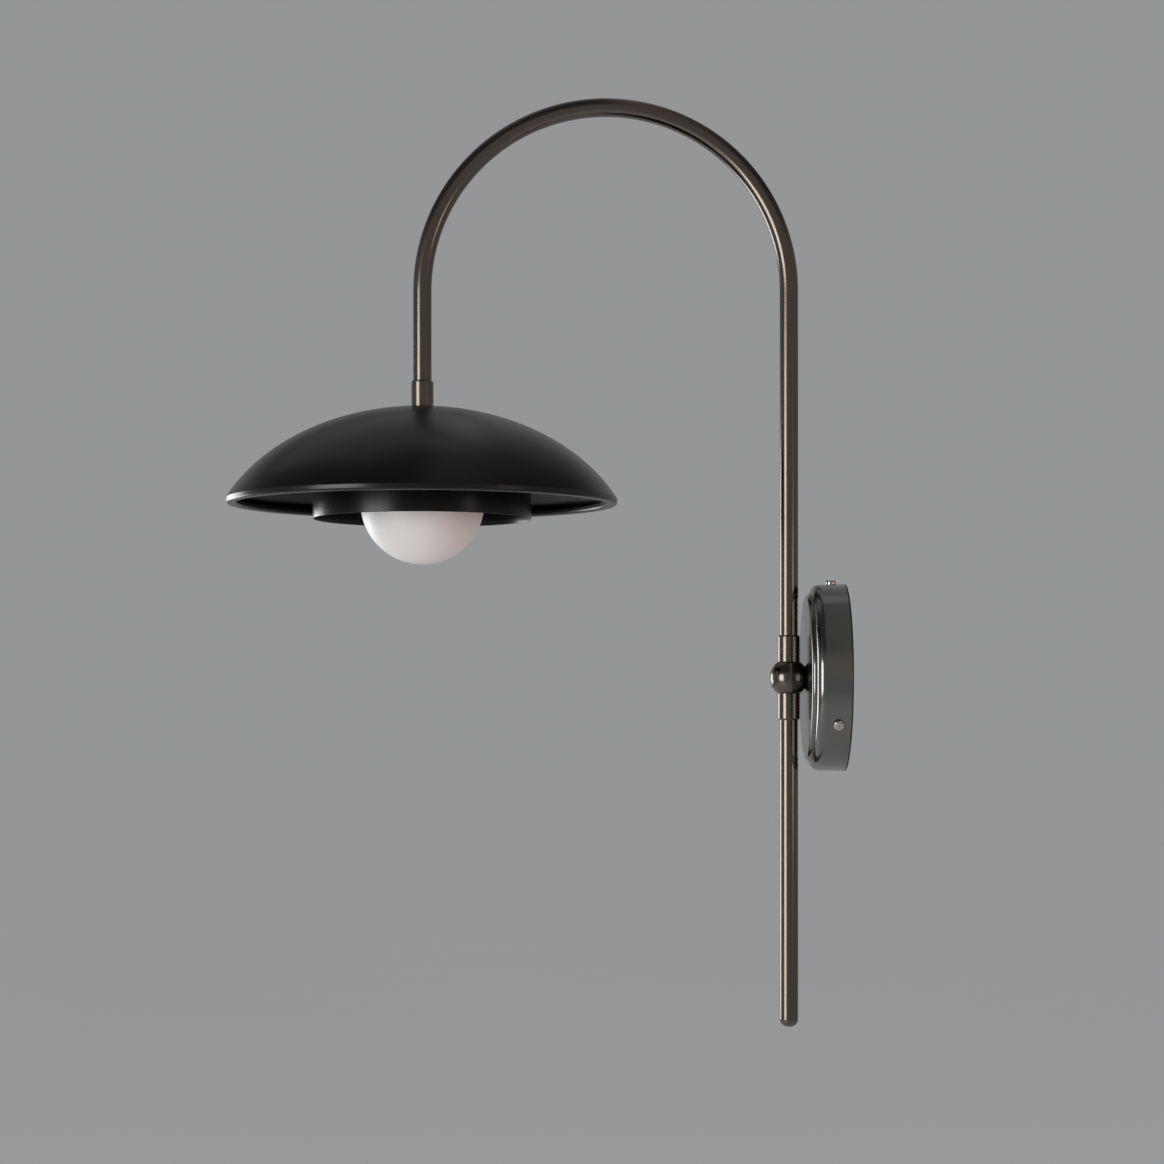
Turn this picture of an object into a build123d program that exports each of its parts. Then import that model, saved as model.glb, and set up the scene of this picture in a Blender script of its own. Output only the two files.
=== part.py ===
from build123d import *
import math
import os

os.makedirs("parts", exist_ok=True)

# A wall light: a round rose on the wall, a ball connector in front of it, a tube that rises from the ball and
# arches over to a wide shallow shade, and a plain tube that hangs below the ball.
# Millimetres. The wall is the plane x = 0 and its outward side is -X. +Z is up. The origin is the centre of
# the rose's round back on the wall.

# ---------------------------------------------------------------- axes and heights, from the ball's centre
arm_stand_off = 36.0         # wall to the axis of the upright tubes
shade_stand_off = 273.0      # wall to the axis of the shade
arch_centre_height = 250.0   # up to the centre of the arch's half circle
shade_top_height = 174.65    # up to the flat crown of the shade
tail_drop = 225.6            # down to the tip of the tail

# ---------------------------------------------------------------- tubes, collars and threaded nipples
tube_radius = 6.0
tube_wall = 1.0
collar_wall = 1.25           # round the tube
collar_length = 17.25
collar_thread_length = 7.25  # threaded end of a collar, beyond the socket that takes the tube
collar_shoulder = 1.0        # bevel where a collar steps down to the tube
collar_edge = 0.3            # bevel at a collar's seated end
nipple_radius = 4.95         # M10 x 1 over its crests
nipple_bore_radius = 4.0
nipple_bevel = 0.5
thread_gap = 0.05            # round a threaded piece in its hole
braze_gap = 0.05             # round a tube in its socket
clear_hole_gap = 0.25        # round a nipple in a plain hole
cap_round = 5.0
cap_land = 1.5
cap_spigot = 8.0

# ---------------------------------------------------------------- ball connector
ball_radius = 12.5
ball_seat_margin = 0.05      # how far each of its three spot-faced seats shows round the collar
nipple_in_ball = 4.85        # how far a nipple screws in past a seat

# ---------------------------------------------------------------- rose, the stepped cover on the wall
rose_back_radius = 60.4
rose_taper = 0.4             # how much narrower the side wall is where it meets the shoulder
rose_shoulder_round = 5.6
rose_groove_width = 0.4
rose_groove_depth = 0.4
rose_face_edge_round = 2.6
rose_step = 2.85             # top of the shoulder up to the edge of the face
rose_dome = 0.5              # how far the middle of the face stands out past its edge
rose_wall = 1.2
gasket_thickness = 0.8
gasket_width = 1.6
gasket_inset = 0.2           # rose's back edge to the outside of the gasket

# ---------------------------------------------------------------- wall bracket
bracket_thickness = 1.5
bracket_disc_radius = 34.0
bracket_bend = 1.0           # inside radius of the bent tabs
tab_width = 14.0
tab_clearance = 3.0          # top of a tab to the start of the rose's shoulder
tab_count = 3
fixing_spacing = 50.8        # the two slots fit a standard round ceiling and wall box
fixing_slot_length = 11.0
fixing_slot_radius = 2.3
grommet_bore_radius = 4.5
grommet_wall = 1.5           # rubber between the cable and the edge of its hole
grommet_flange_width = 1.25
grommet_flange_thickness = 1.5
fit_gap = 0.3                # between seated pieces that don't touch

# ---------------------------------------------------------------- cover screws, M4 with slotted pan heads
cover_screw_radius = 1.95
cover_screw_head_radius = 3.4
cover_screw_head = 2.4
cover_screw_length = 8.0
screw_slot_width = 0.9
pan_round = 0.45             # share of a pan head's height that is rounded off

# ---------------------------------------------------------------- locknuts and washers on the nipples
locknut_across_flats = 14.0
locknut_height = 3.0
locknut_corner = 0.5         # bevel that turns the corners off
stiffener_radius = 20.0
stiffener_thickness = 2.0
lock_washer_radius = 9.0
lock_washer_thickness = 1.0
rose_nipple_tail = 2.0       # nipple left standing past its locknut
shade_nipple_tail = 1.0

# ---------------------------------------------------------------- terminal block and earth screw
block_length = 24.0
block_width = 16.0
block_base = 5.0
block_corner = 1.5
block_tower = 12.5
tower_length = 14.0
tower_half_width = 3.6
tower_edge = 1.0
tunnel_height = 8.0          # bracket to the middle of the wire tunnels
block_way = 12.0             # from one way to the next
block_height = -27.0         # its middle, below the axis
wire_hole_radius = 1.5
terminal_screw_radius = 1.7
terminal_screw_sunk = 1.0    # top of a tower to its screws
terminal_slot_width = 0.6
terminal_slot_depth = 1.4
block_screw_radius = 1.45
block_screw_head_radius = 1.9
block_screw_head = 1.4
earth_side = -17.0
earth_height = -20.0
earth_screw_radius = 1.95
earth_screw_head_radius = 3.2
earth_screw_head = 2.2
earth_washer_half_width = 4.2
earth_washer_thickness = 1.0

# ---------------------------------------------------------------- shade, a shallow spun dome with a thick lip
shade_radius = 126.0
shade_depth = 63.25          # crown to the underside of the lip
dome_overrun = 13.0          # how far the dome's ellipse would run out past the lip
shade_wall = 1.5
shade_seat_radius = 8.0      # flat crown under the collar
lip_width = 6.7
lip_height = 4.0
lip_foot = 3.9               # underside of the lip up to the foot of the dome
lip_round = 1.6
lip_foot_round = 0.6
lip_edge_round = 0.5
shade_washer_radius = 10.0
shade_washer_thickness = 1.2

# ---------------------------------------------------------------- baffle, a spun cup inside the shade
baffle_radius = 70.5
baffle_wall = 1.2
baffle_corner = 7.0
baffle_rim_round = 0.5
baffle_drop = 18.65          # shade's crown to the top of the baffle
baffle_depth = 53.7
sleeve_radius = 7.0

# ---------------------------------------------------------------- glass globe and its screwed gallery
globe_radius = 40.0
globe_wall = 2.5
globe_neck_radius = 19.9
globe_neck_length = 5.1
gallery_wall = 1.6
gallery_disc = 1.5
gallery_skirt_gap = 0.4      # below the skirt, to the globe's shoulder

# ---------------------------------------------------------------- G9 lampholder and lamp
strap_thickness = 1.0
strap_width = 14.0
strap_gap = 0.1              # between the strap's legs and the holder
holder_radius = 9.0
holder_length = 22.0
holder_edge_round = 0.8
holder_drop = 10.0           # gallery disc to the top of the holder
holder_screw_drop = 6.0      # top of the holder to its side screws
holder_screw_radius = 1.45
holder_screw_head_radius = 2.6
holder_screw_head = 1.6
holder_screw_depth = 4.0
pin_spacing = 9.0
pin_radius = 0.75
pin_gap = 0.08
pin_length = 10.0
pin_end_round = 0.45
pin_end_gap = 1.0            # above a pin in its socket
lamp_base_width = 14.0
lamp_base_depth = 6.0
lamp_base_length = 9.0
lamp_base_round = 1.2
lamp_socket_depth = 4.0
lamp_radius = 7.5
lamp_length = 36.0
lamp_wall = 1.0

# ---------------------------------------------------------------- leads
lead_radius = 2.0
lead_turn = 6.0              # bend of the lead inside the ball and behind the rose
lead_tail = 4.0              # straight end of the lead behind the rose
core_radius = 0.9
core_pitch = 1.06            # middle of the lead to the middle of each core
core_turn = 3.0
core_straight = 3.0          # lead's end to the first bend of the cores
core_side = 1.15             # each core's place beside the holder's axis
core_hole_depth = 3.0
core_gap = 0.1               # round a core in the holder
core_reach = 7.0             # how far a core goes into its terminal tunnel
lead_past_nipple = 0.5       # lead left standing below the shade's nipple

# ---------------------------------------------------------------- what follows from the sizes above
FROM_BASE = (Align.CENTER, Align.CENTER, Align.MIN)
FROM_TOP = (Align.CENTER, Align.CENTER, Align.MAX)
thread_hole_radius = nipple_radius + thread_gap
clear_hole_radius = nipple_radius + clear_hole_gap
tube_socket_radius = tube_radius + braze_gap
bend_radius = (shade_stand_off - arm_stand_off) / 2
collar_radius = tube_radius + collar_wall
ball_seat = math.sqrt(ball_radius ** 2 - (collar_radius + ball_seat_margin) ** 2)   # from the ball's centre
rose_front_radius = rose_back_radius - rose_taper
rose_face_height = arm_stand_off - ball_seat
rose_inner_face = rose_face_height - rose_wall
rose_side_height = rose_face_height - rose_dome - rose_step - rose_shoulder_round
tab_height = rose_side_height - tab_clearance
cover_screw_height = (rose_side_height + gasket_thickness) / 2
shade_rim_height = shade_top_height - shade_depth
lip_inner_radius = shade_radius - lip_width
dome_half_width = shade_radius + dome_overrun
crown_share = math.sqrt(1 - (shade_seat_radius / dome_half_width) ** 2)
foot_share = math.sqrt(1 - (shade_radius / dome_half_width) ** 2)
dome_half_height = (shade_depth - lip_foot) / (crown_share - foot_share)
dome_centre_height = shade_top_height - dome_half_height * crown_share
baffle_top_height = shade_top_height - baffle_drop
baffle_rim_height = baffle_top_height - baffle_depth
gallery_top_height = baffle_top_height - baffle_wall
gallery_under_height = gallery_top_height - gallery_disc
globe_neck_top = gallery_under_height - fit_gap
globe_height = globe_neck_top - globe_neck_length - math.sqrt(globe_radius ** 2 - globe_neck_radius ** 2)
strap_under_height = gallery_under_height - strap_thickness
holder_top_height = gallery_under_height - holder_drop
holder_bottom_height = holder_top_height - holder_length
holder_screw_height = holder_top_height - holder_screw_drop
lamp_base_top_height = holder_bottom_height + lamp_socket_depth - fit_gap
shade_nipple_end = strap_under_height - locknut_height - shade_nipple_tail
rose_flat_radius = rose_front_radius - rose_shoulder_round - rose_groove_width - rose_face_edge_round
stiffener_top = rose_inner_face - rose_dome * (stiffener_radius / rose_flat_radius) ** 2
rose_locknut_base = stiffener_top - stiffener_thickness - lock_washer_thickness - locknut_height
rose_nipple_end = rose_locknut_base - rose_nipple_tail
lead_tail_height = -lead_turn - lead_tail
lead_end_height = shade_nipple_end - lead_past_nipple


# ================================================================ ways of placing and shaping
def out_of_wall(shape):
    """Stand a piece drawn upright out from the wall: its Z becomes -X and its X becomes Z."""
    return Rot(0, -90, 0) * shape


def on_arm(shape):
    return Pos(-arm_stand_off, 0, 0) * shape


def on_shade(shape):
    return Pos(-shade_stand_off, 0, 0) * shape


def on_radius(shape, angle, height):
    """Point a piece drawn along +X outwards from the rose's axis, at a height from the wall."""
    return out_of_wall(Pos(0, 0, height) * Rot(0, 0, angle) * shape)


def turned(outline):
    """Turn a closed outline, drawn as radius and height, about Z."""
    return revolve(Plane.XZ * outline, Axis.Z)


def ring(outer, inner, low, high):
    return Pos(0, 0, low) * (Cylinder(outer, high - low, align=FROM_BASE)
                             - Cylinder(inner, high - low, align=FROM_BASE))


def rounded(outline, corner, radius):
    """Round the corner of a flat outline that lies nearest a point."""
    vertex = outline.vertices().sort_by_distance((corner[0], corner[1], 0))[0]
    return fillet(vertex, radius)


def pipe(path, radius):
    """A round wire along a path."""
    start = Plane(origin=path.position_at(0), z_dir=path.tangent_at(0))
    return sweep(start * Circle(radius), path)


def locknut(low):
    """A thin hexagon nut standing on a height, its corners turned off top and bottom."""
    flats = RegularPolygon(locknut_across_flats / 2, 6, major_radius=False)
    blank = extrude(flats, locknut_height)
    lathe = Cylinder(locknut_across_flats / math.sqrt(3), locknut_height, align=FROM_BASE)
    lathe = chamfer(lathe.edges().filter_by(GeomType.CIRCLE), locknut_corner)
    bore = Cylinder(thread_hole_radius, locknut_height, align=FROM_BASE)
    return Pos(0, 0, low) * ((blank & lathe) - bore)


def nipple(low, high):
    """A threaded tube between two heights, its ends bevelled."""
    tube = ring(nipple_radius, nipple_bore_radius, low, high)
    circles = tube.edges().filter_by(GeomType.CIRCLE)
    ends = circles.filter_by(lambda edge: edge.radius > nipple_bore_radius + 0.1)
    return chamfer(ends, nipple_bevel)


def pan_screw(head_radius, head_height, shank_radius, length):
    """A slotted pan-head screw along X: the head's seat is at x = 0 and the shank runs towards -X."""
    head = Cylinder(head_radius, head_height, align=FROM_BASE)
    head = fillet(head.edges().sort_by(Axis.Z)[-1], head_height * pan_round)
    slot = Pos(0, 0, head_height) * Box(head_radius * 2, screw_slot_width, head_height)
    shank = Cylinder(shank_radius, length, align=FROM_TOP)
    return Rot(0, 90, 0) * (head - slot + shank)


# ================================================================ on the wall
def rose_radius_at(height):
    """Outside radius of the rose's tapered side, at a height from the wall."""
    taper = (rose_back_radius - rose_front_radius) / (rose_side_height - gasket_thickness)
    return rose_back_radius - taper * (height - gasket_thickness)


def rose_outline(inset):
    """The rose's closed half outline, set in from its outside: side, rounded shoulder, step, domed face."""
    back = gasket_thickness
    side = rose_front_radius - inset
    shoulder = rose_shoulder_round - inset
    shoulder_x = rose_front_radius - rose_shoulder_round
    shoulder_top = rose_side_height + shoulder
    face_edge = shoulder_x - rose_groove_width - inset
    edge_round = rose_face_edge_round - inset
    edge_top = rose_face_height - rose_dome - inset
    outline = [
        Line((0, back), (rose_back_radius - inset, back)),
        Line((rose_back_radius - inset, back), (side, rose_side_height)),
        CenterArc((shoulder_x, rose_side_height), shoulder, 0, 90),
        Line((shoulder_x, shoulder_top), (face_edge, shoulder_top)),
        Line((face_edge, shoulder_top), (face_edge, edge_top - edge_round)),
        CenterArc((rose_flat_radius, edge_top - edge_round), edge_round, 0, 90),
        ThreePointArc((rose_flat_radius, edge_top), (rose_flat_radius / 2, edge_top + rose_dome * 0.75),
                      (0, edge_top + rose_dome)),
        Line((0, edge_top + rose_dome), (0, back)),
    ]
    return make_face(outline)


def rose():
    """Spun cover: open at the back, a groove round its domed face, three screw holes in its side."""
    skin = turned(rose_outline(0)) - turned(rose_outline(rose_wall))
    groove_outer = rose_front_radius - rose_shoulder_round
    groove_floor = rose_side_height + rose_shoulder_round - rose_groove_depth
    skin -= ring(groove_outer, groove_outer - rose_groove_width, groove_floor, rose_face_height - rose_dome)
    skin -= Cylinder(clear_hole_radius, rose_face_height * 2)
    skin = out_of_wall(skin)
    hole_radius = cover_screw_radius + clear_hole_gap
    hole = Cylinder(hole_radius, rose_back_radius, rotation=(0, 90, 0), align=FROM_BASE)
    for index in range(tab_count):
        skin -= on_radius(hole, index * 360 / tab_count, cover_screw_height)
    return skin


def wall_gasket():
    """Foam ring between the rose's back edge and the wall."""
    outer = rose_back_radius - gasket_inset
    return out_of_wall(ring(outer, outer - gasket_width, 0, gasket_thickness))


def tab_face_radius():
    """Outer face of the bracket's tabs: their corners clear the inside of the rose all the way up."""
    inside = rose_radius_at(tab_height) - rose_wall - fit_gap
    return math.sqrt(inside ** 2 - (tab_width / 2) ** 2)


def bracket_arm():
    """One arm of the bracket with its bent tab, along +X."""
    outer = tab_face_radius()
    inner = outer - bracket_thickness
    foot = bracket_disc_radius / 2
    outline = make_face(Polyline(
        (foot, 0), (outer, 0), (outer, tab_height), (inner, tab_height),
        (inner, bracket_thickness), (foot, bracket_thickness), close=True))
    outline = rounded(outline, (outer, 0), bracket_bend + bracket_thickness)
    outline = rounded(outline, (inner, bracket_thickness), bracket_bend)
    arm = extrude(Plane.XZ * outline, tab_width / 2, both=True)
    tapped = Cylinder(cover_screw_radius + thread_gap, outer * 2, rotation=(0, 90, 0))
    return arm - Pos(0, 0, cover_screw_height) * tapped


def wall_bracket():
    """Pressed plate: disc with two fixing slots, a cable hole and an earth hole, and three bent tabs."""
    plate = Cylinder(bracket_disc_radius, bracket_thickness, align=FROM_BASE)
    for index in range(tab_count):
        plate += Rot(0, 0, index * 360 / tab_count) * bracket_arm()
    for side in (-1, 1):
        slot = Rot(0, 0, 90) * SlotOverall(fixing_slot_length, fixing_slot_radius * 2)
        plate -= Pos(0, side * fixing_spacing / 2, 0) * extrude(slot, bracket_thickness)
    holes = [
        (0, 0, grommet_bore_radius + grommet_wall),
        (earth_height, earth_side, earth_screw_radius + thread_gap),
        (block_height, 0, block_screw_radius + thread_gap),
    ]
    for up, across, radius in holes:
        plate -= Pos(up, across, 0) * Cylinder(radius, bracket_thickness, align=FROM_BASE)
    return out_of_wall(plate)


def cable_grommet():
    """Rubber grommet in the cable hole: a neck through the plate and a flange on its front."""
    neck_radius = grommet_bore_radius + grommet_wall
    neck = ring(neck_radius, grommet_bore_radius, 0, bracket_thickness)
    flange = ring(neck_radius + grommet_flange_width, grommet_bore_radius, bracket_thickness,
                  bracket_thickness + grommet_flange_thickness)
    return out_of_wall(neck + flange)


def cover_screws():
    """Three slotted screws through the rose's side into the bracket's tabs."""
    screw = pan_screw(cover_screw_head_radius, cover_screw_head, cover_screw_radius, cover_screw_length)
    seat = rose_radius_at(cover_screw_height - cover_screw_head_radius)
    screws = [on_radius(Pos(seat, 0, 0) * screw, index * 360 / tab_count, cover_screw_height)
              for index in range(tab_count)]
    return Compound(children=[solid for screw in screws for solid in screw.solids()])


def stiffener():
    """Large steel washer that spreads the arm's load over the back of the rose's face."""
    return out_of_wall(ring(stiffener_radius, clear_hole_radius, stiffener_top - stiffener_thickness,
                            stiffener_top))


def lock_washer():
    high = stiffener_top - stiffener_thickness
    return out_of_wall(ring(lock_washer_radius, clear_hole_radius, high - lock_washer_thickness, high))


def rose_locknut():
    return out_of_wall(locknut(rose_locknut_base))


def rose_nipple():
    """Threaded tube from the ball's rear seat through the rose to its locknut."""
    return out_of_wall(nipple(rose_nipple_end, rose_face_height + nipple_in_ball))


def terminal_block():
    """Two-way nylon block: a base with a tower over each way, wire tunnels along Z, a screw hole between."""
    base = Box(block_width, block_length, block_base, align=FROM_BASE)
    block = fillet(base.edges().filter_by(Axis.Z), block_corner)
    for side in (-1, 1):
        tower = Pos(0, side * block_way / 2, 0) * Box(
            tower_length, tower_half_width * 2, block_tower, align=FROM_BASE)
        block += fillet(tower.edges().group_by(Axis.Z)[-1], tower_edge)
        block -= Pos(0, side * block_way / 2, tunnel_height) * Cylinder(
            wire_hole_radius, block_width, rotation=(0, 90, 0))
        for end in (-1, 1):
            block -= Pos(end * tower_length / 4, side * block_way / 2, tunnel_height) * Cylinder(
                terminal_screw_radius + thread_gap, block_tower, align=FROM_BASE)
    block -= Cylinder(block_screw_radius + clear_hole_gap, block_tower, align=FROM_BASE)
    return out_of_wall(Pos(block_height, 0, bracket_thickness) * block)


def terminal_screws():
    """Four slotted brass screws, two in each tower, that press on the wires."""
    length = block_tower - terminal_screw_sunk - tunnel_height - wire_hole_radius
    screw = Cylinder(terminal_screw_radius, length, align=FROM_BASE)
    screw -= Pos(0, 0, length) * Box(terminal_screw_radius * 2, terminal_slot_width, terminal_slot_depth * 2)
    screws = []
    for side in (-1, 1):
        for end in (-1, 1):
            place = Pos(block_height + end * tower_length / 4, side * block_way / 2,
                        bracket_thickness + tunnel_height + wire_hole_radius)
            screws.append(out_of_wall(place * screw).solid())
    return Compound(children=screws)


def block_screw():
    """Screw between the towers that holds the block to the bracket."""
    screw = pan_screw(block_screw_head_radius, block_screw_head, block_screw_radius,
                      block_base + bracket_thickness)
    screw = Rot(0, -90, 0) * screw
    return out_of_wall(Pos(block_height, 0, bracket_thickness + block_base) * screw)


def earth_screw():
    """Slotted screw with a captive square washer that clamps the earth core to the bracket."""
    clamp = bracket_thickness + core_radius * 2
    seat = clamp + earth_washer_thickness
    screw = pan_screw(earth_screw_head_radius, earth_screw_head, earth_screw_radius, seat)
    washer = Pos(0, 0, clamp) * Box(
        earth_washer_half_width * 2, earth_washer_half_width * 2, earth_washer_thickness, align=FROM_BASE)
    placed = Pos(0, 0, seat) * Rot(0, -90, 0) * screw + washer
    return out_of_wall(Pos(earth_height, earth_side, 0) * placed)


# ================================================================ ball, collars and tubes
def ball_connector():
    """Turned ball with three flat seats, tapped from each seat into one chamber."""
    ball = Sphere(ball_radius)
    beyond = Pos(0, 0, ball_seat) * Cylinder(ball_radius, ball_radius, align=FROM_BASE)
    tapping = Cylinder(thread_hole_radius, ball_seat, align=FROM_BASE)
    for turn in (Rot(0, 0, 0), Rot(180, 0, 0), Rot(0, 90, 0)):
        ball -= turn * (beyond + tapping)
    return on_arm(ball)


def collar():
    """Turned sleeve standing on its threaded end, with a socket for the tube at its bevelled top."""
    shoulder_radius = collar_radius - collar_shoulder
    outline = Polyline(
        (thread_hole_radius, 0), (collar_radius - collar_edge, 0), (collar_radius, collar_edge),
        (collar_radius, collar_length - collar_shoulder), (shoulder_radius, collar_length),
        (tube_socket_radius, collar_length), (tube_socket_radius, collar_thread_length),
        (thread_hole_radius, collar_thread_length), close=True)
    return turned(make_face(outline))


def upper_collar():
    return on_arm(Pos(0, 0, ball_seat) * collar())


def lower_collar():
    return on_arm(Rot(180, 0, 0) * Pos(0, 0, ball_seat) * collar())


def shade_collar():
    return on_shade(Pos(0, 0, shade_top_height) * collar())


def upper_nipple():
    low = ball_seat - nipple_in_ball
    return on_arm(nipple(low, ball_seat + collar_thread_length))


def lower_nipple():
    return Rot(180, 0, 0) * upper_nipple()


def arm_tube():
    """Hollow tube: up from the ball, over a half circle and down to the shade's collar."""
    bore = tube_radius - tube_wall
    rise = ring(tube_radius, bore, ball_seat + collar_thread_length, arch_centre_height)
    drop = ring(tube_radius, bore, shade_top_height + collar_thread_length, arch_centre_height)
    section = Pos(-arm_stand_off, 0, arch_centre_height) * (Circle(tube_radius) - Circle(bore))
    arch_axis = Axis((-arm_stand_off - bend_radius, 0, arch_centre_height), (0, -1, 0))
    return on_arm(rise) + revolve(section, arch_axis, 180) + on_shade(drop)


def tail_tube():
    """Hollow tube hanging from the lower collar to the tail cap."""
    low = -tail_drop + cap_round + cap_land
    return on_arm(ring(tube_radius, tube_radius - tube_wall, low, -ball_seat - collar_thread_length))


def tail_cap():
    """Rounded plug with a spigot up inside the tail tube."""
    shoulder = cap_round + cap_land
    spigot_radius = tube_radius - tube_wall - braze_gap
    outline = make_face([
        Line((0, 0), (tube_radius - cap_round, 0)),
        CenterArc((tube_radius - cap_round, cap_round), cap_round, -90, 90),
        Line((tube_radius, cap_round), (tube_radius, shoulder)),
        Line((tube_radius, shoulder), (spigot_radius, shoulder)),
        Line((spigot_radius, shoulder), (spigot_radius, shoulder + cap_spigot)),
        Line((spigot_radius, shoulder + cap_spigot), (0, shoulder + cap_spigot)),
        Line((0, shoulder + cap_spigot), (0, 0)),
    ])
    return on_arm(Pos(0, 0, -tail_drop) * turned(outline))


# ================================================================ shade and baffle
def dome_arc(inset, low, high):
    """The dome's elliptical arc, set in from its outside, from a low height up to a high one."""
    half_width = dome_half_width - inset
    half_height = dome_half_height - inset
    start = math.degrees(math.asin((low - dome_centre_height) / half_height))
    end = math.degrees(math.asin((high - dome_centre_height) / half_height))
    return EllipticalCenterArc((0, dome_centre_height), half_width, half_height, start, arc_size=end - start)


def dome_inner_height(radius):
    """Height of the dome's underside at a radius."""
    share = radius / (dome_half_width - shade_wall)
    return dome_centre_height + (dome_half_height - shade_wall) * math.sqrt(1 - share ** 2)


def shade_under_height():
    """Underside of the flat under the crown, wide enough for the washer."""
    return dome_inner_height(shade_washer_radius + fit_gap)


def shade():
    """Spun dome with a flat crown, a hole for the nipple and a thick rounded lip."""
    under = shade_under_height()
    lip_top = shade_rim_height + lip_height
    outside = dome_arc(0, shade_rim_height + lip_foot, shade_top_height)
    inside = dome_arc(shade_wall, lip_top, under)
    outline = make_face([
        Line((lip_inner_radius, shade_rim_height), (shade_radius, shade_rim_height)),
        Line((shade_radius, shade_rim_height), outside @ 0),
        outside,
        Line(outside @ 1, (clear_hole_radius, shade_top_height)),
        Line((clear_hole_radius, shade_top_height), (clear_hole_radius, under)),
        Line((clear_hole_radius, under), inside @ 1),
        inside,
        Line(inside @ 0, (lip_inner_radius, lip_top)),
        Line((lip_inner_radius, lip_top), (lip_inner_radius, shade_rim_height)),
    ])
    outline = rounded(outline, (shade_radius, shade_rim_height), lip_round)
    outline = rounded(outline, (shade_radius, shade_rim_height + lip_foot), lip_foot_round)
    outline = rounded(outline, (lip_inner_radius, shade_rim_height), lip_edge_round)
    outline = rounded(outline, (lip_inner_radius, lip_top), lip_edge_round)
    return on_shade(turned(outline))


def shade_washer():
    under = shade_under_height()
    return on_shade(ring(shade_washer_radius, clear_hole_radius, under - shade_washer_thickness, under))


def shade_locknut_base():
    return shade_under_height() - shade_washer_thickness - locknut_height


def shade_locknut():
    return on_shade(locknut(shade_locknut_base()))


def spacer_sleeve():
    """Distance sleeve on the nipple, between the shade's locknut and the baffle."""
    return on_shade(ring(sleeve_radius, clear_hole_radius, baffle_top_height, shade_locknut_base()))


def shade_nipple():
    """Threaded tube from the shade's collar down through everything that hangs in the shade."""
    return on_shade(nipple(shade_nipple_end, shade_top_height + collar_thread_length))


def baffle():
    """Spun cup with a flat top, a rounded corner and an open bottom that hangs below the shade's lip."""
    inner = baffle_radius - baffle_wall
    under = baffle_top_height - baffle_wall
    outline = make_face(Polyline(
        (clear_hole_radius, under), (inner, under), (inner, baffle_rim_height),
        (baffle_radius, baffle_rim_height), (baffle_radius, baffle_top_height),
        (clear_hole_radius, baffle_top_height), close=True))
    outline = rounded(outline, (inner, under), baffle_corner - baffle_wall)
    outline = rounded(outline, (baffle_radius, baffle_top_height), baffle_corner)
    outline = rounded(outline, (baffle_radius, baffle_rim_height), baffle_rim_round)
    outline = rounded(outline, (inner, baffle_rim_height), baffle_rim_round)
    return on_shade(turned(outline))


# ================================================================ globe, lampholder and lamp
def glass_gallery():
    """Turned cap under the baffle whose threaded skirt takes the globe's neck."""
    skirt_inner = globe_neck_radius + fit_gap
    skirt_outer = skirt_inner + gallery_wall
    shoulder = globe_height + math.sqrt(globe_radius ** 2 - skirt_inner ** 2)
    cap = ring(skirt_outer, clear_hole_radius, gallery_under_height, gallery_top_height)
    skirt = ring(skirt_outer, skirt_inner, shoulder + gallery_skirt_gap, gallery_under_height)
    return on_shade(cap + skirt)


def globe():
    """Blown opal ball with a short threaded neck."""
    inner_radius = globe_radius - globe_wall
    neck_inner = globe_neck_radius - globe_wall
    outer_end = math.degrees(math.acos(globe_neck_radius / globe_radius))
    inner_end = math.degrees(math.acos(neck_inner / inner_radius))
    outer = CenterArc((0, globe_height), globe_radius, -90, 90 + outer_end)
    inner = CenterArc((0, globe_height), inner_radius, -90, 90 + inner_end)
    outline = make_face([
        outer,
        Line(outer @ 1, (globe_neck_radius, globe_neck_top)),
        Line((globe_neck_radius, globe_neck_top), (neck_inner, globe_neck_top)),
        Line((neck_inner, globe_neck_top), inner @ 1),
        inner,
        Line(inner @ 0, outer @ 0),
    ])
    return on_shade(turned(outline))


def holder_strap():
    """Steel strap clamped under the gallery, its two legs bent down either side of the lampholder."""
    span = (holder_radius + strap_gap) * 2
    low = holder_screw_height - holder_screw_head_radius
    strap = Pos(0, 0, low) * Box(span + strap_thickness * 2, strap_width, gallery_under_height - low,
                                 align=FROM_BASE)
    strap -= Pos(0, 0, low) * Box(span, strap_width, strap_under_height - low, align=FROM_BASE)
    strap = fillet(strap.edges().filter_by(Axis.Y).group_by(Axis.Z)[-1], strap_thickness)
    strap -= Cylinder(clear_hole_radius, gallery_under_height * 2)
    strap -= Pos(0, 0, holder_screw_height) * Cylinder(
        holder_screw_radius + clear_hole_gap, span * 2, rotation=(0, 90, 0))
    return on_shade(strap)


def holder_locknut():
    return on_shade(locknut(strap_under_height - locknut_height))


def lampholder():
    """Ceramic body: two core holes in its top, two pin sockets and a recess for the lamp's base below."""
    body = Pos(0, 0, holder_bottom_height) * Cylinder(holder_radius, holder_length, align=FROM_BASE)
    body = fillet(body.edges().filter_by(GeomType.CIRCLE), holder_edge_round)
    body -= Pos(0, 0, holder_bottom_height) * Box(
        lamp_base_depth + fit_gap * 2, lamp_base_width + fit_gap * 2, lamp_socket_depth, align=FROM_BASE)
    socket = Cylinder(pin_radius + pin_gap, pin_length + pin_end_gap, align=FROM_BASE)
    core_hole = Cylinder(core_radius + core_gap, core_hole_depth, align=FROM_TOP)
    for side in (-1, 1):
        body -= Pos(0, side * pin_spacing / 2, holder_bottom_height + lamp_socket_depth) * socket
        body -= Pos(0, side * core_side, holder_top_height) * core_hole
        tapped = Cylinder(holder_screw_radius + thread_gap, holder_screw_depth, rotation=(0, 90, 0))
        reach = holder_radius - holder_screw_depth / 2
        body -= Pos(side * reach, 0, holder_screw_height) * tapped
    return on_shade(body)


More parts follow.
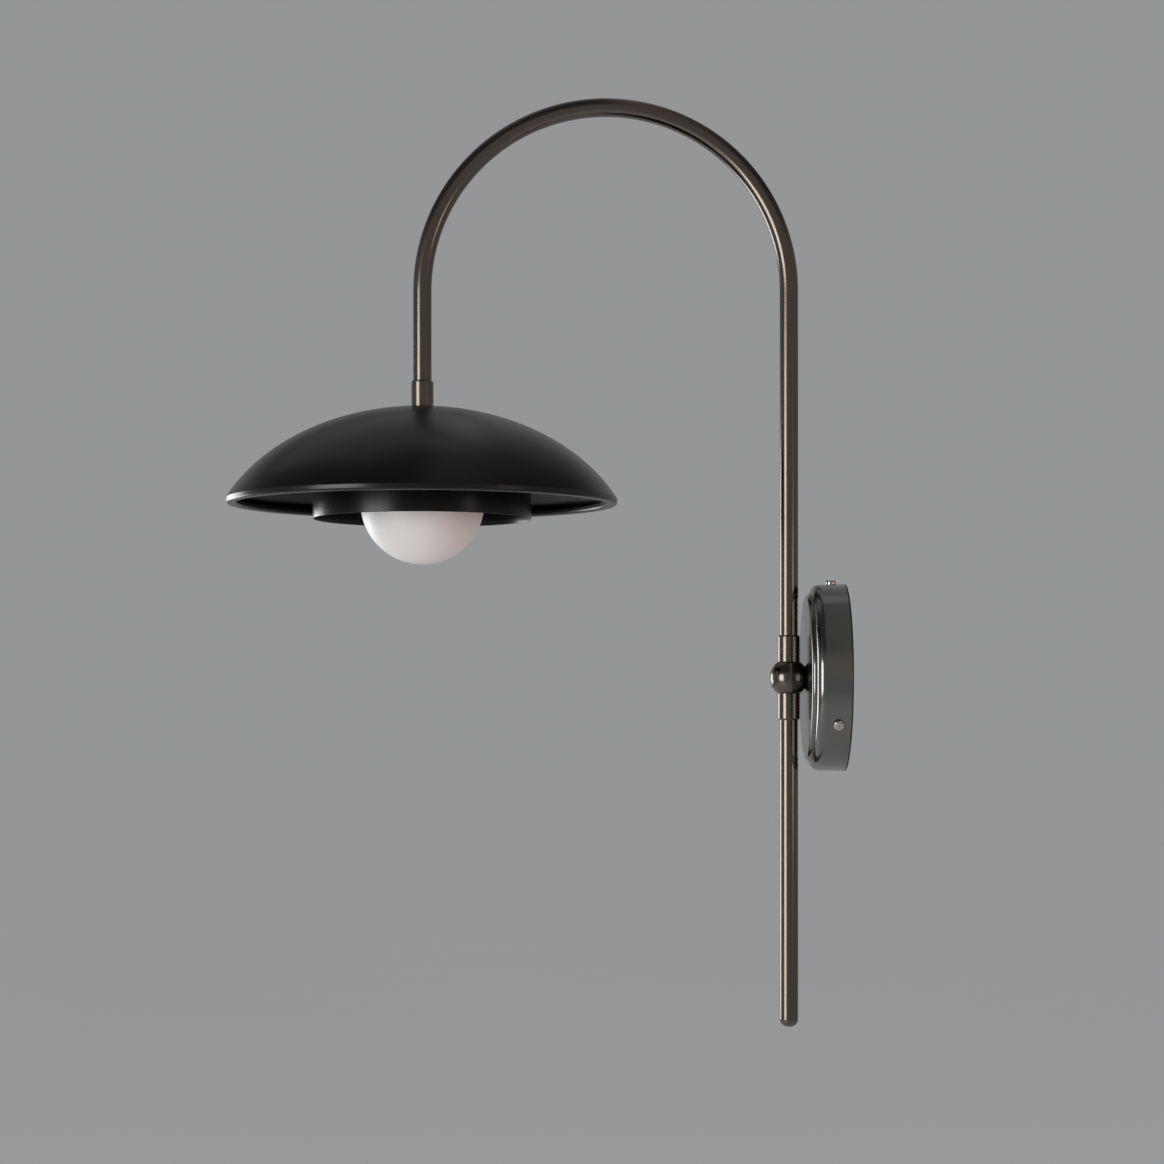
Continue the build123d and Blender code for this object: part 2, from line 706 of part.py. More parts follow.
def holder_screws():
    """Two screws through the strap's legs into the lampholder's sides."""
    seat = holder_radius + strap_gap + strap_thickness
    length = strap_thickness + holder_screw_depth - fit_gap
    screw = pan_screw(holder_screw_head_radius, holder_screw_head, holder_screw_radius, length)
    screws = []
    for turn in (0, 180):
        placed = on_shade(Pos(0, 0, holder_screw_height) * Rot(0, 0, turn) * Pos(seat, 0, 0) * screw)
        screws.append(placed.solid())
    return Compound(children=screws)


def lamp_base():
    """Flat ceramic base of the lamp, with its edges eased."""
    low = lamp_base_top_height - lamp_base_length
    base = Pos(0, 0, low) * Box(lamp_base_depth, lamp_base_width, lamp_base_length, align=FROM_BASE)
    return on_shade(fillet(base.edges().filter_by(Axis.Z), lamp_base_round))


def lamp_pins():
    """Two round pins that stand up from the base into the lampholder."""
    pins = []
    for side in (-1, 1):
        pin = Cylinder(pin_radius, pin_length, align=FROM_BASE)
        pin = fillet(pin.edges().sort_by(Axis.Z)[-1], pin_end_round)
        pins.append(on_shade(Pos(0, side * pin_spacing / 2, lamp_base_top_height) * pin).solid())
    return Compound(children=pins)


def lamp_capsule():
    """Glass capsule under the base, closed by a round end."""
    top = lamp_base_top_height - lamp_base_length
    inner_radius = lamp_radius - lamp_wall
    bottom_centre = top - lamp_length + lamp_radius
    outer = CenterArc((0, bottom_centre), lamp_radius, -90, 90)
    inner = CenterArc((0, bottom_centre), inner_radius, -90, 90)
    outline = make_face([
        outer,
        Line((lamp_radius, bottom_centre), (lamp_radius, top)),
        Line((lamp_radius, top), (0, top)),
        Line((0, top), (0, top - lamp_wall)),
        Line((0, top - lamp_wall), (inner_radius, top - lamp_wall)),
        Line((inner_radius, top - lamp_wall), (inner_radius, bottom_centre)),
        inner,
        Line(inner @ 0, outer @ 0),
    ])
    return on_shade(turned(outline))


# ================================================================ leads
def sheathed_lead():
    """Three-core lead: from the terminals through the rose and the ball, over the arch and into the shade."""
    drop_x = -rose_nipple_end + lead_turn
    arm_x = -arm_stand_off
    shade_x = -shade_stand_off
    arch = arch_centre_height
    path = Plane.XZ * Wire([
        Line((drop_x, lead_tail_height), (drop_x, -lead_turn)),
        CenterArc((drop_x - lead_turn, -lead_turn), lead_turn, 0, 90),
        Line((drop_x - lead_turn, 0), (arm_x + lead_turn, 0)),
        CenterArc((arm_x + lead_turn, lead_turn), lead_turn, 270, -90),
        Line((arm_x, lead_turn), (arm_x, arch)),
        CenterArc((arm_x - bend_radius, arch), bend_radius, 0, 180),
        Line((shade_x, arch), (shade_x, lead_end_height)),
    ])
    return pipe(path, lead_radius)


def core(points):
    """One insulated core along a bent route."""
    return pipe(FilletPolyline(*points, radius=core_turn), core_radius)


def line_and_neutral(side):
    """Core from the end of the lead into one way of the terminal block."""
    start_x = -rose_nipple_end + lead_turn - core_pitch / 2
    start_y = side * core_pitch * math.sqrt(0.75)
    way_x = -bracket_thickness - tunnel_height
    way_y = side * block_way / 2
    way_in = block_height + tower_length / 2
    return core([
        (start_x, start_y, lead_tail_height),
        (start_x, start_y, lead_tail_height - core_straight),
        (way_x, way_y, way_in),
        (way_x, way_y, way_in - core_reach),
    ])


def line_core():
    return line_and_neutral(-1)


def neutral_core():
    return line_and_neutral(1)


def earth_core():
    """Core from the end of the lead to the bracket, where it lies under the earth screw's washer."""
    start_x = -rose_nipple_end + lead_turn + core_pitch
    plate_x = -bracket_thickness - core_radius
    wire_z = earth_height + earth_screw_radius + core_radius + thread_gap
    return core([
        (start_x, 0, lead_tail_height),
        (start_x, 0, lead_tail_height - core_straight),
        (plate_x, earth_side + earth_washer_half_width * 2, wire_z),
        (plate_x, earth_side - earth_washer_half_width, wire_z),
    ])


def holder_cores():
    """Two short cores from the end of the lead down into the lampholder."""
    low = holder_top_height - core_hole_depth + fit_gap
    cores = [on_shade(Pos(0, side * core_side, low)
                      * Cylinder(core_radius, lead_end_height - low, align=FROM_BASE)).solid()
             for side in (-1, 1)]
    return Compound(children=cores)


PIECES = [
    wall_bracket, wall_gasket, cable_grommet, terminal_block, terminal_screws, block_screw, earth_screw,
    rose, cover_screws, stiffener, lock_washer, rose_locknut, rose_nipple,
    ball_connector, upper_nipple, upper_collar, arm_tube, lower_nipple, lower_collar, tail_tube, tail_cap,
    shade_collar, shade_nipple, shade, shade_washer, shade_locknut, spacer_sleeve, baffle,
    glass_gallery, holder_strap, holder_locknut, lampholder, holder_screws,
    globe, lamp_base, lamp_pins, lamp_capsule,
    sheathed_lead, line_core, neutral_core, earth_core, holder_cores,
]

for piece in PIECES:
    export_step(piece(), f"parts/{piece.__name__}.step")
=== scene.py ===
"""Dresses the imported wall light: spun, turned and bent metal, an opal globe, and a plain studio round it."""

import math

import bmesh
import bpy
from mathutils import Matrix, Vector


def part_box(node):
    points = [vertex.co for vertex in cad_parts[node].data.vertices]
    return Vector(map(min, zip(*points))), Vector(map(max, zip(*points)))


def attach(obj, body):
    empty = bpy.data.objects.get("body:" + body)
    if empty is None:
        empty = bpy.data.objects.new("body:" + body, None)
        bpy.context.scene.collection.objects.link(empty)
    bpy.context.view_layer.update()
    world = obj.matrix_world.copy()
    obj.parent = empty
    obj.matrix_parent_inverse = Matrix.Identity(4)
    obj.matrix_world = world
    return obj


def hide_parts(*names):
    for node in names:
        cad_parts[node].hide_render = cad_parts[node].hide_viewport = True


bl_info = {
    "name": "Arched wall light",
    "version": (1, 0, 0),
    "blender": (4, 5, 0),
    "location": "View3D > Sidebar > Wall light",
    "description": "Builds the visible pieces, finishes and studio of an arched wall light",
    "category": "Add Mesh",
}

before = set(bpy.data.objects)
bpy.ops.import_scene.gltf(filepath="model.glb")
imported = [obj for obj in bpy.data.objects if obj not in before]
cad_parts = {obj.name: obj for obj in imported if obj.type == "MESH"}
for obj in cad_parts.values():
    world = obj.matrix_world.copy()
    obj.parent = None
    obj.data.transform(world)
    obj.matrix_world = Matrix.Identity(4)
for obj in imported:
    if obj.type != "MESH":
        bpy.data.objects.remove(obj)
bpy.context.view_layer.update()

MM = 0.001
UP = Vector((0, 0, 1))
ROUND_STEPS = 192            # steps in a full turn of the large spun pieces
SMALL_STEPS = 96             # and of the small turned ones
FULL_ROUND = 0.97            # share of a whole quarter round that leaves its neighbour corner free


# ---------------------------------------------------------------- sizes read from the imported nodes
def middle(node):
    low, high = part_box(node)
    return (low + high) / 2


def half_width(node):
    low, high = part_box(node)
    return (high.y - low.y) / 2


def lowest(node):
    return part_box(node)[0].z


def highest(node):
    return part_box(node)[1].z


def length(name, description, default):
    """A size that the user can change, in metres."""
    return bpy.props.FloatProperty(name=name, description=description, default=default, min=0.0,
                                   precision=5, unit="LENGTH", subtype="DISTANCE")


def colour(name, description, default):
    """A finish colour that the user can change, as an sRGB hex value."""
    return bpy.props.StringProperty(name=name, description=description, default=default)


def power(name, description, default):
    return bpy.props.FloatProperty(name=name, description=description, default=default, min=0.0, unit="POWER")


class ArmSizes(bpy.types.PropertyGroup):
    stand_off: length("Stand-off", "Wall to the axis of the upright tubes", -middle("tail_tube").x)
    tube_radius: length("Tube radius", "Outside radius of the arched and tail tubes", half_width("tail_tube"))
    tube_wall: length("Tube wall", "Wall of the tubes", 1.0 * MM)
    bend_height: length("Bend height", "Ball's centre to the start of the arch", 250 * MM)
    arch_low: length("Arch start", "Lower end of the arched tube above the ball", lowest("arm_tube"))
    collar_radius: length("Collar radius", "Outside radius of the collars", half_width("upper_collar"))
    collar_shoulder: length("Collar shoulder", "Bevel where a collar steps down to the tube", 1.0 * MM)
    collar_edge: length("Collar edge", "Eased edge of a collar", 0.25 * MM)
    ball_radius: length("Ball radius", "Radius of the ball connector", half_width("ball_connector"))
    ball_edge: length("Ball seat edge", "Eased edge round each flat seat of the ball", 0.2 * MM)
    cap_round: length("Cap rounding", "Rounded end of the tail cap", 5.0 * MM)
    tube_edge: length("Tube edge", "Eased cut end of a tube", 0.12 * MM)
    socket: length("Socket", "How far the arched tube goes into the shade's collar", 10.0 * MM)
    slip: length("Slip", "Gap all round between a tube and what it slides into or over", 0.05 * MM)


class RoseSizes(bpy.types.PropertyGroup):
    back_radius: length("Back radius", "Radius at the wall", half_width("rose"))
    front_radius: length("Front radius", "Radius where the side meets the shoulder", 60.0 * MM)
    back: length("Back", "Wall to the rose's back edge", 0.8 * MM)
    side_height: length("Side height", "Wall to the start of the shoulder", 16.9 * MM)
    shoulder_round: length("Shoulder rounding", "Quarter round of the shoulder", 5.6 * MM)
    groove_width: length("Groove width", "Groove round the face", 0.4 * MM)
    groove_depth: length("Groove depth", "Groove below the shoulder", 0.4 * MM)
    face_round: length("Face rounding", "Rounded edge of the face", 2.6 * MM)
    face_height: length("Face height", "Wall to the middle of the face", -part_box("rose")[0].x)
    dome: length("Face dome", "How far the face's middle stands out past its edge", 0.5 * MM)
    wall: length("Wall", "Thickness of the spun metal", 1.2 * MM)
    bore: length("Bore", "Radius of the hole for the nipple", 5.2 * MM)
    back_edge: length("Back edge", "Eased edge at the wall", 0.3 * MM)
    groove_edge: length("Groove edge", "Eased outer edge of the groove", 0.1 * MM)
    screw_height: length("Screw height", "Wall to the axis of the side screws", 8.85 * MM)
    screw_head: length("Screw head", "Height of a side screw's head", 2.4 * MM)
    screw_round: length("Screw head rounding", "Rounded edge of a pan head", 1.08 * MM)
    screw_radius: length("Screw head radius", "Radius of a side screw's head", 3.4 * MM)
    screw_slot: length("Screw slot", "Width of the slot in a side screw", 1.0 * MM)
    screw_slot_depth: length("Slot depth", "Depth of that slot", 1.3 * MM)
    screw_sunk: length("Screw seat", "How far a head is drawn into the rose's side", 0.1 * MM)


class ShadeSizes(bpy.types.PropertyGroup):
    stand_off: length("Stand-off", "Wall to the axis of the shade", -middle("shade").x)
    radius: length("Radius", "Outside radius at the lip", half_width("shade"))
    overrun: length("Overrun", "How far the dome's ellipse would run out past the lip", 13.0 * MM)
    top: length("Top", "Height of the flat crown", highest("shade"))
    rim: length("Rim", "Height of the lip's underside", lowest("shade"))
    wall: length("Wall", "Thickness of the spun metal", 1.5 * MM)
    crown: length("Crown", "Radius of the flat crown", 8.0 * MM)
    lip_width: length("Lip width", "Width of the thick lip", 6.7 * MM)
    lip_height: length("Lip height", "Height of the thick lip inside", 4.0 * MM)
    lip_foot: length("Lip foot", "Underside of the lip up to the foot of the dome", 3.9 * MM)
    lip_foot_round: length("Lip foot rounding", "Rounding between the dome and the lip's side", 1.3 * MM)
    lip_round: length("Lip rounding", "Rounded outer edge of the lip", 1.8 * MM)
    lip_inner_round: length("Lip inner rounding", "Rounded inner edge of the lip's underside", 1.8 * MM)
    lip_edge: length("Lip edge", "Eased top edge inside the lip", 0.5 * MM)
    bore: length("Bore", "Radius of the hole for the nipple in shade and baffle", 5.2 * MM)
    baffle_radius: length("Baffle radius", "Outside radius of the baffle", half_width("baffle"))
    baffle_wall: length("Baffle wall", "Thickness of the baffle", 1.2 * MM)
    baffle_corner: length("Baffle corner", "Rounded top corner of the baffle", 7.0 * MM)
    baffle_edge: length("Baffle edge", "Eased bottom edge of the baffle", 0.3 * MM)
    flare_height: length("Flare height", "Height over which the baffle's wall thins to its edge", 4.5 * MM)
    flare: length("Flare", "How much thinner the wall is at that edge", 0.6 * MM)


class GlobeSizes(bpy.types.PropertyGroup):
    radius: length("Radius", "Outside radius of the globe", half_width("globe"))
    wall: length("Wall", "Thickness of the glass", 2.5 * MM)
    neck_radius: length("Neck radius", "Outside radius of the neck", 19.9 * MM)
    neck_edge: length("Neck edge", "Fire-polished edge of the neck", 0.9 * MM)


class FinishColours(bpy.types.PropertyGroup):
    nickel: colour("Black nickel on tube", "Black nickel plate on tubes, collars and ball", "#69625c")
    nickel_warm: colour("Thin black nickel on tube", "Thinner, browner plate on the same", "#6a6259")
    rose: colour("Black nickel on rose", "Heavier, greyer plate on the rose", "#777978")
    rose_warm: colour("Thin black nickel on rose", "Thinner, browner plate on the rose", "#77746f")
    screw: colour("Bright nickel", "Side screws", "#c4bfb8")
    enamel: colour("Black enamel", "Satin stove enamel", "#070708")
    opal: colour("Opal glass", "Acid-etched opal glass", "#e2e2e1")
    floor: colour("Floor", "Pale matt floor", "#dadbdb")
    backdrop: colour("Backdrop", "Backdrop where it meets the floor", "#949697")
    ceiling: colour("Ceiling", "Dark ceiling, which only reflections see", "#525254")
    room: colour("Room", "Warmer side behind the camera, which only reflections see", "#9e9893")
    surround: colour("Surround", "Soft light from all round", "#b0b1b3")


class StudioSettings(bpy.types.PropertyGroup):
    floor_drop: length("Floor", "How far below the ball the floor lies", 0.75)
    floor_reach: length("Floor reach", "From under the ball to each side of the floor", 30.0)
    aim_height: length("Aim", "Height above the ball that every light points at", 0.07)
    camera_distance: length("Camera distance", "Camera to the plane of the arm", 1.73)
    camera_side: length("Camera side", "Wall to the camera's axis, midway along the arm", 0.1698)
    camera_drop: length("Camera drop", "How far the camera is below the ball", 0.022)
    lens_per_metre: bpy.props.FloatProperty(name="Lens", default=47.84, precision=2,
                                            description="Focal length in mm for each metre of distance")
    camera_shift: bpy.props.FloatProperty(name="Camera shift", default=0.1114, precision=4,
                                          description="Share of the picture that the lens is shifted up by")
    key: power("Key light", "Tall soft light to the left of the camera", 12.6)
    rear: power("Rear light", "Soft light behind the object on the left", 9.0)
    overhead: power("Overhead light", "Wide dim light above and behind the object", 1.1)
    fill: power("Fill light", "Warm light low on the right, as if bounced, so nothing mirrors it", 4.2)
    warm: power("Warm lamp", "Small warm lamp to the right of the camera", 0.75)


# ---------------------------------------------------------------- finishes
def linear(hex_value):
    """An sRGB hex value as the linear colour that a shader takes."""
    parts = [int(hex_value[i:i + 2], 16) / 255 for i in (1, 3, 5)]
    return [c / 12.92 if c <= 0.04045 else ((c + 0.055) / 1.055) ** 2.4 for c in parts] + [1.0]


def per_metre(size_mm):
    """Pattern scale for a texture whose marks are a size in millimetres."""
    return 1000.0 / size_mm


def add_node(tree, kind, settings=None, inputs=None):
    """Add a node, set its own properties, and fill each input with a value or with another node's output."""
    made = tree.nodes.new(kind)
    for name, value in (settings or {}).items():
        setattr(made, name, value)
    for name, value in (inputs or {}).items():
        if isinstance(value, bpy.types.NodeSocket):
            tree.links.new(value, made.inputs[name])
        else:
            made.inputs[name].default_value = value
    return made


def new_material(name):
    """An empty node material, its tree and its Object coordinates."""
    made = bpy.data.materials.new(name)
    made.use_nodes = True
    made.node_tree.nodes.clear()
    where = add_node(made.node_tree, "ShaderNodeTexCoord").outputs["Object"]
    return made, made.node_tree, where


def close_material(tree, surface):
    add_node(tree, "ShaderNodeOutputMaterial", inputs={"Surface": surface.outputs["BSDF"]})


def spread(tree, value, low, high):
    """A texture's 0.3 to 0.7 spread over a range."""
    return add_node(tree, "ShaderNodeMapRange", inputs={
        "Value": value, "From Min": 0.3, "From Max": 0.7, "To Min": low, "To Max": high}).outputs["Result"]


def black_nickel_plate(name, base, warm, rough_low, rough_high):
    """Black nickel electroplate over buffed brass.

    A dark mirror, faintly brown where the plate is thin. Hand buffing leaves it slightly uneven, so edges of
    reflections waver, and handling leaves faint cloudy patches that are a little rougher.
    """
    made, tree, where = new_material(name)
    clouds = add_node(tree, "ShaderNodeTexNoise", inputs={
        "Vector": where, "Scale": per_metre(28), "Detail": 2.0}).outputs["Fac"]
    tint = add_node(tree, "ShaderNodeMix", {"data_type": "RGBA"}, {
        "Factor": spread(tree, clouds, 0.0, 1.0), 6: linear(base), 7: linear(warm)}).outputs[2]
    waver = add_node(tree, "ShaderNodeTexNoise", inputs={
        "Vector": where, "Scale": per_metre(14), "Detail": 1.0}).outputs["Fac"]
    bump = add_node(tree, "ShaderNodeBump", inputs={
        "Height": waver, "Strength": 0.12, "Distance": 0.15 * MM}).outputs["Normal"]
    surface = add_node(tree, "ShaderNodeBsdfPrincipled", inputs={
        "Base Color": tint, "Metallic": 1.0, "Normal": bump,
        "Roughness": spread(tree, clouds, rough_low, rough_high)})
    close_material(tree, surface)
    return made


def satin_stove_enamel(base):
    """Black stove enamel sprayed on spun aluminium.

    A deep black that is glossy enough for crisp lines of light along its edges, with a very fine orange peel.
    The gloss varies a little from patch to patch, and a few specks of dust are caught in it.
    """
    made, tree, where = new_material("satin_stove_enamel")
    patches = add_node(tree, "ShaderNodeTexNoise", inputs={
        "Vector": where, "Scale": per_metre(45), "Detail": 4.0}).outputs["Fac"]
    peel = add_node(tree, "ShaderNodeTexNoise", inputs={
        "Vector": where, "Scale": per_metre(1.4), "Detail": 2.0}).outputs["Fac"]
    bump = add_node(tree, "ShaderNodeBump", inputs={
        "Height": peel, "Strength": 0.1, "Distance": 0.03 * MM}).outputs["Normal"]
    specks = add_node(tree, "ShaderNodeTexVoronoi", inputs={
        "Vector": where, "Scale": per_metre(14), "Randomness": 1.0}).outputs["Distance"]
    dust = add_node(tree, "ShaderNodeMapRange", inputs={
        "Value": specks, "From Min": 0.018, "From Max": 0.026,
        "To Min": 0.35, "To Max": 0.0}).outputs["Result"]
    tint = add_node(tree, "ShaderNodeMix", {"data_type": "RGBA"}, {
        "Factor": dust, 6: linear(base), 7: linear("#4a4a4c")}).outputs[2]
    surface = add_node(tree, "ShaderNodeBsdfPrincipled", inputs={
        "Base Color": tint, "Normal": bump, "IOR": 1.42,
        "Roughness": spread(tree, patches, 0.25, 0.29)})
    close_material(tree, surface)
    return made


def etched_opal_glass(base):
    """Blown opal glass, acid-etched outside.

    An even milky white that light goes a little way into, with a soft sheen and faint clouds where the opal
    layer is thicker.
    """
    made, tree, where = new_material("etched_opal_glass")
    clouds = add_node(tree, "ShaderNodeTexNoise", inputs={
        "Vector": where, "Scale": per_metre(30), "Detail": 3.0}).outputs["Fac"]
    tint = add_node(tree, "ShaderNodeMix", {"data_type": "RGBA"}, {
        "Factor": spread(tree, clouds, 0.0, 1.0), 6: linear(base), 7: linear("#dddbd9")}).outputs[2]
    etch = add_node(tree, "ShaderNodeTexNoise", inputs={
        "Vector": where, "Scale": per_metre(0.5), "Detail": 2.0}).outputs["Fac"]
    bump = add_node(tree, "ShaderNodeBump", inputs={
        "Height": etch, "Strength": 0.05, "Distance": 0.01 * MM}).outputs["Normal"]
    surface = add_node(tree, "ShaderNodeBsdfPrincipled", inputs={
        "Base Color": tint, "Roughness": 0.42, "IOR": 1.5, "Normal": bump,
        "Subsurface Weight": 0.35, "Subsurface Radius": (1.0, 0.9, 0.8), "Subsurface Scale": 4 * MM})
    close_material(tree, surface)
    return made


def plain_metal(name, base, worn, roughness, grain_mm):
    """Metal left as it was made, plated or turned: patches of a duller tone and a fine tool grain."""
    made, tree, where = new_material(name)
    patches = add_node(tree, "ShaderNodeTexNoise", inputs={
        "Vector": where, "Scale": per_metre(4), "Detail": 4.0}).outputs["Fac"]
    tint = add_node(tree, "ShaderNodeMix", {"data_type": "RGBA"}, {
        "Factor": spread(tree, patches, 0.0, 1.0), 6: linear(base), 7: linear(worn)}).outputs[2]
    grain = add_node(tree, "ShaderNodeTexNoise", inputs={
        "Vector": where, "Scale": per_metre(grain_mm), "Detail": 3.0}).outputs["Fac"]
    bump = add_node(tree, "ShaderNodeBump", inputs={
        "Height": grain, "Strength": 0.2, "Distance": 0.02 * MM}).outputs["Normal"]
    surface = add_node(tree, "ShaderNodeBsdfPrincipled", inputs={
        "Base Color": tint, "Metallic": 1.0, "Normal": bump,
        "Roughness": spread(tree, patches, roughness - 0.06, roughness + 0.08)})
    close_material(tree, surface)
    return made


def moulded(name, base, shaded, roughness, grain_mm):
    """Moulded, fired or extruded material without metal: an even colour, faint mottling, a fine skin."""
    made, tree, where = new_material(name)
    mottle = add_node(tree, "ShaderNodeTexNoise", inputs={
        "Vector": where, "Scale": per_metre(3), "Detail": 4.0}).outputs["Fac"]
    tint = add_node(tree, "ShaderNodeMix", {"data_type": "RGBA"}, {
        "Factor": spread(tree, mottle, 0.0, 1.0), 6: linear(base), 7: linear(shaded)}).outputs[2]
    skin = add_node(tree, "ShaderNodeTexNoise", inputs={
        "Vector": where, "Scale": per_metre(grain_mm), "Detail": 2.0}).outputs["Fac"]
    bump = add_node(tree, "ShaderNodeBump", inputs={
        "Height": skin, "Strength": 0.25, "Distance": 0.02 * MM}).outputs["Normal"]
    surface = add_node(tree, "ShaderNodeBsdfPrincipled", inputs={
        "Base Color": tint, "Normal": bump,
        "Roughness": spread(tree, mottle, roughness, roughness + 0.08)})
    close_material(tree, surface)
    return made


def clear_lamp_glass():
    """Drawn quartz tube of the lamp: clear, with a faint ripple from drawing."""
    made, tree, where = new_material("clear_lamp_glass")
    ripple = add_node(tree, "ShaderNodeTexNoise", inputs={
        "Vector": where, "Scale": per_metre(5), "Detail": 1.0}).outputs["Fac"]
    bump = add_node(tree, "ShaderNodeBump", inputs={
        "Height": ripple, "Strength": 0.1, "Distance": 0.1 * MM}).outputs["Normal"]
    surface = add_node(tree, "ShaderNodeBsdfPrincipled", inputs={
        "Base Color": linear("#fafafa"), "Roughness": 0.03, "IOR": 1.46, "Transmission Weight": 1.0,
        "Normal": bump})
    close_material(tree, surface)
    return made


def earth_insulation():
    """Green core insulation with its yellow stripe."""
    made, tree, where = new_material("green_and_yellow_insulation")
    stripe = add_node(tree, "ShaderNodeTexWave", {"wave_type": "BANDS", "bands_direction": "DIAGONAL"}, {
        "Vector": where, "Scale": per_metre(9), "Distortion": 0.3}).outputs["Fac"]
    sharp = add_node(tree, "ShaderNodeMapRange", inputs={
        "Value": stripe, "From Min": 0.55, "From Max": 0.65}).outputs["Result"]
    tint = add_node(tree, "ShaderNodeMix", {"data_type": "RGBA"}, {
        "Factor": sharp, 6: linear("#3d7a32"), 7: linear("#d3b728")}).outputs[2]
    surface = add_node(tree, "ShaderNodeBsdfPrincipled", inputs={"Base Color": tint, "Roughness": 0.35})
    close_material(tree, surface)
    return made


# ---------------------------------------------------------------- shaping
def chain(bm, points, start=None, end=None):
    """Join corner points, given as radius and height, by straight edges, from one vertex to another."""
    corners = [bm.verts.new((radius, 0, height)) for radius, height in points]
    path = ([start] if start else []) + corners + ([end] if end else [])
    for here, there in zip(path, path[1:]):
        bm.edges.new((here, there))
    return corners


def round_corner(bm, corner, radius, segments=6):
    """Round a corner of an outline to a radius."""
    first, second = (edge.other_vert(corner).co - corner.co for edge in corner.link_edges)
    reach = radius / math.tan(first.angle(second) / 2)
    bmesh.ops.bevel(bm, geom=[corner], offset=reach, offset_type="OFFSET", affect="VERTICES",
                    segments=segments, profile=0.5, material=-1)


def upright_arc(bm, half_across, half_up, centre, low, high, segments=256):
    """The part of an upright ellipse right of the axis, between two heights; returns its two end vertices."""
    kept = set(bm.verts)
    placing = Matrix.Translation((0, 0, centre)) @ Matrix.Diagonal((half_across, 1, half_up, 1))
    bmesh.ops.create_circle(bm, cap_ends=False, segments=segments, radius=1,
                            matrix=placing @ Matrix.Rotation(math.pi / 2, 4, "X"))
    for point, normal in (((0, 0, low), -UP), ((0, 0, high), UP), ((0, 0, 0), Vector((-1, 0, 0)))):
        arc = [vert for vert in bm.verts if vert not in kept]
        edges = {edge for vert in arc for edge in vert.link_edges}
        bmesh.ops.bisect_plane(bm, geom=arc + list(edges), plane_co=point, plane_no=normal, clear_outer=True)
    ends = [vert for vert in bm.verts if vert not in kept and len(vert.link_edges) == 1]
    ends.sort(key=lambda vert: vert.co.z)
    return ends[0], ends[-1]


def spin_about(bm, x, steps):
    """Spin an outline drawn on the axis through a full turn, then move it out to its own axis."""
    bmesh.ops.spin(bm, geom=bm.verts[:] + bm.edges[:], cent=(0, 0, 0), axis=UP, angle=math.tau, steps=steps,
                   use_merge=True, use_duplicate=False)
    bmesh.ops.remove_doubles(bm, verts=bm.verts, dist=1e-6)
    bmesh.ops.translate(bm, verts=bm.verts, vec=(x, 0, 0))


def add_piece(name, bm, body, nodes, material, sharp_angle=38):
    """Close a mesh, point its faces outwards, and hand it to the frame in place of its nodes."""
    bmesh.ops.remove_doubles(bm, verts=bm.verts, dist=1e-7)
    bmesh.ops.dissolve_degenerate(bm, edges=bm.edges, dist=1e-7)
    bmesh.ops.recalc_face_normals(bm, faces=bm.faces)
    mesh = bpy.data.meshes.new(name)
    bm.to_mesh(mesh)
    bm.free()
    mesh.shade_smooth()
    mesh.set_sharp_from_angle(angle=math.radians(sharp_angle))
    mesh.materials.append(material)
    made = bpy.data.objects.new(name, mesh)
    bpy.context.scene.collection.objects.link(made)
    flats = made.modifiers.new("even_flats", "WEIGHTED_NORMAL")
    flats.mode = "FACE_AREA"
    flats.keep_sharp = True
    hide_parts(*nodes)
    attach(made, body)
    return made


